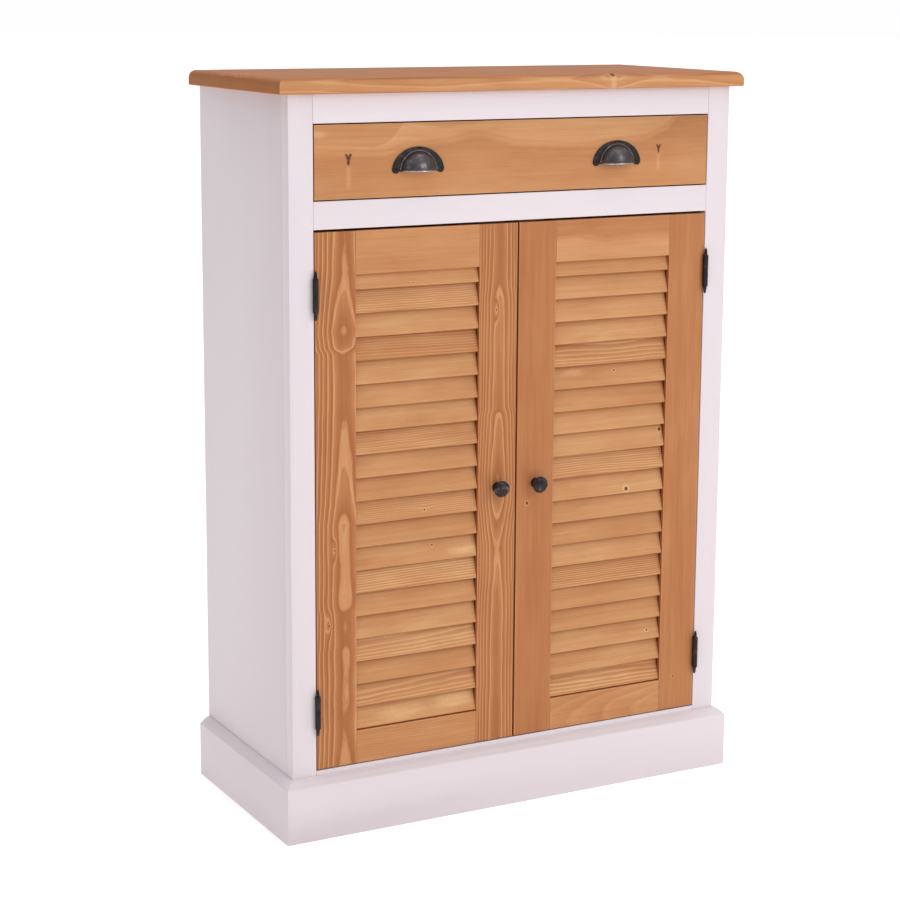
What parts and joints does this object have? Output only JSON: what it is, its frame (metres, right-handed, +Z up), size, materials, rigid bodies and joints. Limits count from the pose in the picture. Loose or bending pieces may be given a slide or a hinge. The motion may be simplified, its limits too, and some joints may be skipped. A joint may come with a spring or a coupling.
{
  "type": "shoe cabinet",
  "caption": "Free-standing shoe cabinet with a drawer above louvred doors, a face frame, an overhanging rounded top and a mitred plinth.",
  "frame": {"origin": "middle of the footprint of the whole cabinet, handles included, on the floor", "axes": "+Z up, +X to the right as seen from the front, +Y from the front towards the back; the doors face -Y"},
  "size_m": [0.838, 0.3752, 1.2],
  "materials": {
    "white_paint": "satin white paint on wood",
    "stained_pine": "honey-stained pine under satin lacquer",
    "bare_pine": "bare planed pine",
    "black_metal": "burnished black, semi-gloss",
    "white_plastic": "moulded, matte",
    "zinc_plate": "zinc plated"
  },
  "bodies": {
    "carcass": {"top": "stained_pine", "back_panel": "white_paint", "left_side_panel": "white_paint", "right_side_panel": "white_paint", "bottom_board": "white_paint", "dust_board": "bare_pine", "frame_left_stile": "white_paint", "frame_right_stile": "white_paint", "frame_top_rail": "white_paint", "frame_middle_rail": "white_paint", "frame_bottom_rail": "white_paint", "plinth_front": "white_paint", "plinth_left": "white_paint", "plinth_right": "white_paint", "left_drawer_runner": "bare_pine", "right_drawer_runner": "bare_pine", "shelf_1": "bare_pine", "shelf_2": "bare_pine", "shelf_3": "bare_pine", "shelf_1_left_cleat": "bare_pine", "shelf_1_right_cleat": "bare_pine", "shelf_2_left_cleat": "bare_pine", "shelf_2_right_cleat": "bare_pine", "shelf_3_left_cleat": "bare_pine", "shelf_3_right_cleat": "bare_pine", "left_door_catch": "white_plastic", "right_door_catch": "white_plastic", "left_upper_hinge_frame_leaf": "black_metal", "left_lower_hinge_frame_leaf": "black_metal", "right_upper_hinge_frame_leaf": "black_metal", "right_lower_hinge_frame_leaf": "black_metal", "left_upper_hinge_pin": "black_metal", "left_lower_hinge_pin": "black_metal", "right_upper_hinge_pin": "black_metal", "right_lower_hinge_pin": "black_metal"},
    "drawer": {"drawer_front": "stained_pine", "drawer_left_side": "bare_pine", "drawer_right_side": "bare_pine", "drawer_back": "bare_pine", "drawer_bottom": "bare_pine", "left_cup_pull": "black_metal", "right_cup_pull": "black_metal"},
    "left_door": {"left_door_hinge_stile": "stained_pine", "left_door_meeting_stile": "stained_pine", "left_door_top_rail": "stained_pine", "left_door_bottom_rail": "stained_pine", "left_door_louvres": "stained_pine", "left_door_knob": "black_metal", "left_door_strike_plate": "zinc_plate", "left_upper_hinge_door_leaf": "black_metal", "left_lower_hinge_door_leaf": "black_metal"},
    "right_door": {"right_door_hinge_stile": "stained_pine", "right_door_meeting_stile": "stained_pine", "right_door_top_rail": "stained_pine", "right_door_bottom_rail": "stained_pine", "right_door_louvres": "stained_pine", "right_door_knob": "black_metal", "right_door_strike_plate": "zinc_plate", "right_upper_hinge_door_leaf": "black_metal", "right_lower_hinge_door_leaf": "black_metal"}
  },
  "joints": [
    {"name": "drawer_slide", "type": "slide", "parent": "carcass", "child": "drawer", "axis": [0, -1, 0], "range_m": [0, 0.22]},
    {"name": "left_door_hinge", "type": "hinge", "parent": "carcass", "child": "left_door", "pos_m": [-0.358, -0.16935, 0.54], "axis": [0, 0, -1], "range_deg": [0, 170]},
    {"name": "right_door_hinge", "type": "hinge", "parent": "carcass", "child": "right_door", "pos_m": [0.358, -0.16935, 0.54], "axis": [0, 0, 1], "range_deg": [0, 170]}
  ]
}
